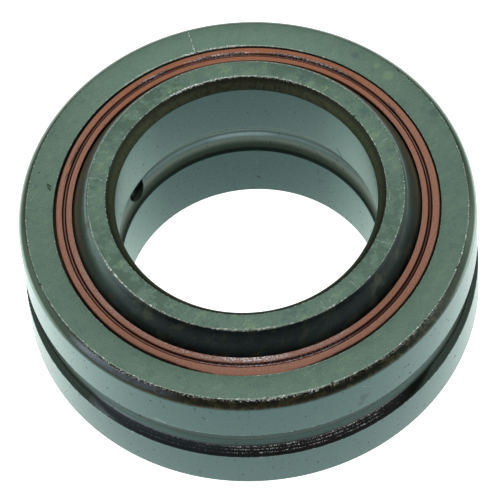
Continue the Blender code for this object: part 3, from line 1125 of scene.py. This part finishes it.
def inner_ring_scuffs(look):
    """Coat worn off the face's two edges, rubbed hardest where it stands for a painted glint as well."""
    bore_rub = look.sectors((97, 34, 0.9), (54, 24, 0.8), (15, 30, 0.4), (140, 24, 0.4), (250, 60, 0.2))
    rim_rub = look.sectors((209, 8, 1.2), (267, 20, 1.9), (296, 7, 1.2), (250, 75, 0.8))
    return look.either(
        look.worn_edge(BORE_FACE_EDGE, INNER_FACE, 0.03, look.calc("ADD", bore_rub, 0.15)),
        look.worn_edge(FACE_RIM - 0.06, INNER_FACE - 0.03, 0.035, look.calc("ADD", rim_rub, 0.4)),
    )


def inner_ring_finish():
    """Green ground faces, a teal bore with an olive chamfer, and a ball with painted shade in front."""
    look = Finish("phosphated_ball_ring")
    on = inner_ring_areas(look)
    colour = look.painted(
        bore_colour(look, on),
        (bore_chamfer_colour(look), on.chamfer),
        (ball_colour(look), on.ball),
        # Painted shade inside the cross hole
        (HOLLOW_SHADE, look.both(on.hole, 0.85)),
    )
    colour, pits = clouded(look, colour, on.face, 1.0, 0.80)
    patches = look.fade(look.noise(0.9, 4, 0.7), 0.44, 0.55)
    dull = look.sectors((128, 28, 0.9), (214, 38, 0.9), (335, 32, 0.8), (65, 24, 0.7))
    dark_marks = look.either(*[look.scratch(*mark) for mark in BALL_RING_DARK_MARKS])
    scuffs = inner_ring_scuffs(look)
    # Painted glints along the bore's edge at the back
    by_bore = look.both(
        look.fade(look.edge(BORE_FACE_EDGE, INNER_FACE - 0.02), 0.14, 0.06),
        look.sectors((103, 22, 1.5), (75, 16, 0.7)),
    )
    sparkle = look.fade(look.noise(8.0, 2, 0.6), 0.53, 0.59)
    # Bare steel at wear and knocks, with painted glints
    bare_and_glints = look.either(
        look.both(scuffs, look.fade(look.noise(5.0, 2, 0.6), 0.52, 0.60)),
        look.spots(BALL_RING_KNOCKS),
        look.both(by_bore, sparkle),
    )
    colour = look.painted(
        colour,
        (shade(FACE_GREEN, 0.55), look.both(on.face, patches, dull)),
        (DARK_SPECK, look.both(dark_marks, 0.9)),
        (SCUFFED, look.both(look.scratches(BALL_RING_SCRATCHES), 0.8)),
        (SCUFFED, look.both(scuffs, 0.85)),
        (BARE_STEEL_AND_GLINTS, bare_and_glints),
    )
    dirt = look.either(pits, dark_marks)
    turned_wall = look.either(on.bore, on.ball)
    metallic = look.blended(
        0.25,
        (0.65, on.bore),
        (0.2, on.foot),
        (0.2, look.either(on.brow, on.shoulder)),
        (0.5, on.ball),
        (0.0, dirt),
    )
    roughness = look.blended(
        0.42,
        (0.28, turned_wall),
        (0.55, on.chamfer),
        (0.30, on.groove),
        (0.60, on.shoulder),
        (0.9, dirt),
    )
    steps = look.noise(2.0, 2, 0.6, look.turned(0.5, 6.0))
    normal = look.ground(0.2, steps, look.blend(0.03, 0.12, turned_wall))
    return look.apply(
        Base_Color=colour,
        Metallic=metallic,
        Roughness=roughness,
        Normal=normal,
        Specular_Tint=INNER_TINT,
    )


def seal_areas(look):
    """Where the seal's inner lip, groove, ridge and neck are."""
    on = SimpleNamespace()
    groove_out = SEAL_GROOVE_IN + SEAL_GROOVE[0]
    middle = SEAL_GROOVE_IN + SEAL_GROOVE[0] / 2
    sunk = look.fade(look.depth, OUTER_FACE + 0.10, OUTER_FACE + 0.03)
    on.lip = look.fade(look.radius, SEAL_GROOVE_IN + 0.1, SEAL_LIP_EDGE + 0.1)
    on.lip_edge = look.fade(look.radius, SEAL_LIP_EDGE + 0.34, SEAL_LIP_EDGE + 0.20)
    on.groove = look.both(look.band(look.radius, SEAL_GROOVE_IN - 0.01, groove_out, 0.02), sunk)
    on.ridge = look.both(look.band(look.radius, middle - 0.06, middle + 0.06, 0.02), on.groove)
    on.outer_half = look.both(on.groove, look.fade(look.radius, middle - 0.02, middle + 0.02))
    on.outer_flank = look.band(look.radius, middle + 0.04, groove_out + 0.14, 0.02)
    on.neck = look.both(
        look.fade(look.radius, 14.35, 14.45),
        look.fade(look.depth, OUTER_FACE - 0.12, OUTER_FACE - 0.20),
    )
    return on


def seal_grit(look, on):
    """Pale grit on the lip in front, in the groove, and along its outer flank at the back."""
    grit = look.fade(look.noise(8.0, 2, 0.6), 0.52, 0.58)
    gritty = look.either(
        look.both(on.lip, look.sectors((270, 11, 1.8), (256, 26, 0.5), (292, 12, 0.4))),
        look.both(on.groove, look.sector(275, 30), 0.6),
        look.both(on.outer_flank, look.sectors((66, 16, 0.7), (94, 14, 1.0), (117, 6, 0.7))),
    )
    return look.both(grit, gritty)


def seal_finish():
    """Red-brown elastomer with painted shade in its groove, dusty in front, soiled along its groove at the
    back, with painted glints on the lip in front and dirt with painted shade on its neck.
    """
    look = Finish("red_brown_elastomer")
    on = seal_areas(look)
    grain = look.noise(7.0, 2, 0.6)
    radial = look.noise(2.0, 2, 0.6, look.turned(90.0, 0.6))
    soiled = look.both(
        on.outer_flank,
        look.sectors((34, 5, 1.5), (64, 18, 1.8), (93, 11, 1.8), (118, 8, 1.5), (157, 9, 1.2)),
        look.fade(look.noise(1.0, 3, 0.6, look.turned(10.0, 3.0)), 0.40, 0.52),
    )
    soiled.node.use_clamp = True
    dusty = look.both(
        on.lip, look.sectors((212, 32, 0.6), (268, 22, 0.5)), look.fade(grain, 0.38, 0.6)
    )
    glint_dots = look.fade(look.noise(6.0, 2, 0.7), 0.56, 0.60)
    colour = look.painted(
        CLAY,
        (DUSTY_CLAY, look.sectors((272, 75, 0.7), (180, 60, 0.8), (0, 60, 0.7))),
        (shade(CLAY, 0.70), look.both(0.6, look.fade(grain, 0.55, 0.35))),
        (shade(CLAY, 1.25), look.both(0.6, look.fade(radial, 0.50, 0.70))),
        (DUST, dusty),
        # Painted shade in the groove, eased on its outer half and ridge, deeper on the ridge at the front
        # right
        (SHADED_CLAY, look.both(on.groove, 0.9)),
        (RIDGE_CLAY, look.both(on.outer_half, look.sectors((235, 50, 1.2), (95, 75, 0.9)))),
        (RIDGE_CLAY, look.both(on.ridge, look.without(look.sector(95, 85)))),
        (SHADED_CLAY, look.both(on.ridge, look.sector(325, 56), 0.75)),
        (SOILED_CLAY, soiled),
        (PALE_GRIT, seal_grit(look, on)),
        # Painted glints on the lip in front
        (LIP_GLINT, look.both(glint_dots, on.lip_edge, look.sector(268, 13), 1.6)),
        # Dirt and painted shade on the neck wall in the gap to the seat
        (NECK_DIRT_AND_SHADE, look.both(on.neck, 0.85)),
    )
    normal = look.bump(grain, 0.3, 0.02)
    return look.apply(Base_Color=colour, Roughness=0.55, Normal=normal, Specular_IOR_Level=0.25)


def coat(piece, material):
    piece.data.materials.clear()
    piece.data.materials.append(material)


# Studio: the camera's roll, distance and slip in its own plane, the floor's and the sky's light

CAMERA_ELEVATION = math.radians(58.17)
CAMERA_ROLL = math.radians(4.94)
CAMERA_DISTANCE = 461.5
CAMERA_SLIP = (0.042, 0.049)
CAMERA_LENS = 431.7
WHITE = (1, 1, 1, 1)
FLOOR_GREY = (0.85, 0.85, 0.85, 1)
FLOOR_RADIUS = 900
FLOOR_GAP = 0.01
FLOOR_NEAR = 1.3
FLOOR_FAR = 0.15
FLOOR_LEFT = 0.5
FLOOR_RIGHT = 0.25
SKY_ROUND = 0.25
SKY_FRONT = 0.02
SKY_FRONT_HEIGHT = math.radians(20)


def place_camera():
    """A long lens at the photograph's angle, level with the bearing's middle."""
    camera = bpy.data.cameras.new("camera")
    camera.lens = CAMERA_LENS
    camera.clip_end = 10
    holder = bpy.data.objects.new("camera", camera)
    slip_x, slip_y = CAMERA_SLIP
    back = Matrix.Translation(Vector((-slip_x, -slip_y, CAMERA_DISTANCE)) * MM)
    turn = Matrix.Rotation(math.radians(90) - CAMERA_ELEVATION, 4, "X")
    roll = Matrix.Rotation(-CAMERA_ROLL, 4, "Z")
    holder.matrix_world = turn @ roll @ back
    bpy.context.scene.collection.objects.link(holder)
    bpy.context.scene.camera = holder


def softbox(name, place, size, brightness):
    """A flat soft lamp at a place in millimetres, facing the bearing."""
    lamp = bpy.data.lights.new(name, "AREA")
    lamp.shape = "RECTANGLE"
    lamp.size = size[0] * MM
    lamp.size_y = size[1] * MM
    lamp.energy = brightness * math.pi * lamp.size * lamp.size_y
    holder = bpy.data.objects.new(name, lamp)
    holder.location = Vector(place) * MM
    holder.rotation_euler = Vector(place).to_track_quat("Z", "Y").to_euler()
    bpy.context.scene.collection.objects.link(holder)


def lay_floor():
    """A wide pale floor under the inner ring's lower face that glows, a painted pool of light brightest on
    both sides of it.
    """
    bpy.ops.mesh.primitive_circle_add(vertices=96, radius=FLOOR_RADIUS * MM, fill_type="NGON")
    floor = bpy.context.object
    floor.name = "studio_floor"
    bpy.ops.object.mode_set(mode="EDIT")
    bpy.ops.transform.translate(value=(0, 0, -(INNER_FACE + FLOOR_GAP) * MM))
    bpy.ops.object.mode_set(mode="OBJECT")
    look = Finish("pale_floor")
    across = look.vector("DOT_PRODUCT", look.place, (1, 0, 0))
    # The floor glows: a painted pool of light that fades away from the bearing and is brightest to its left
    # and right
    pool = look.blend(FLOOR_FAR, FLOOR_NEAR, look.fade(look.radius, 160, 45))
    beside = look.calc(
        "ADD",
        look.both(look.fade(across, -14, -24), FLOOR_LEFT),
        look.both(look.fade(across, 14, 26), FLOOR_RIGHT),
    )
    light = look.calc("MULTIPLY", pool, look.calc("ADD", 1, beside))
    look.apply(
        Base_Color=FLOOR_GREY,
        Roughness=0.9,
        Specular_IOR_Level=0.1,
        Emission_Color=WHITE,
        Emission_Strength=light,
    )
    coat(floor, look.material)


def fill_world():
    """Soft light from all round, darker in front of the bearing."""
    world = bpy.data.worlds.new("studio")
    world.use_nodes = True
    tree = world.node_tree
    sky = tree.nodes["Background"]
    direction = tree.nodes.new("ShaderNodeTexCoord").outputs["Generated"]
    toward = tree.nodes.new("ShaderNodeVectorMath")
    toward.operation = "DOT_PRODUCT"
    toward.inputs[1].default_value = (0, -math.cos(SKY_FRONT_HEIGHT), math.sin(SKY_FRONT_HEIGHT))
    tree.links.new(direction, toward.inputs[0])
    dim = tree.nodes.new("ShaderNodeMapRange")
    dim.interpolation_type = "SMOOTHSTEP"
    dim.inputs["From Min"].default_value = 0.2
    dim.inputs["From Max"].default_value = 0.75
    dim.inputs["To Min"].default_value = SKY_ROUND
    dim.inputs["To Max"].default_value = SKY_FRONT
    tree.links.new(toward.outputs["Value"], dim.inputs["Value"])
    tree.links.new(dim.outputs["Result"], sky.inputs["Strength"])
    sky.inputs["Color"].default_value = WHITE
    bpy.context.scene.world = world


def studio():
    place_camera()
    lay_floor()
    fill_world()
    softbox("left_softbox", (-200, 10, 90), (180, 160), 1.5)
    softbox("right_softbox", (200, 10, 90), (180, 160), 1.5)
    softbox("top_softbox", (0, 90, 230), (200, 160), 2.5)
    bpy.context.scene.view_settings.view_transform = "Standard"


inner = ball_ring()
outer = race_ring()
upper = seal("upper_lip_seal", 1)
lower = seal("lower_lip_seal", -1)
coat(inner, inner_ring_finish())
coat(outer, outer_ring_finish())
elastomer = seal_finish()
coat(upper, elastomer)
coat(lower, elastomer)

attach(inner, "inner_ring")
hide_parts("inner_ring")
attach(outer, "outer_ring")
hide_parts("outer_ring")
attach(upper, "seals")
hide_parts("upper_seal")
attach(lower, "seals")
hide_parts("lower_seal")

studio()
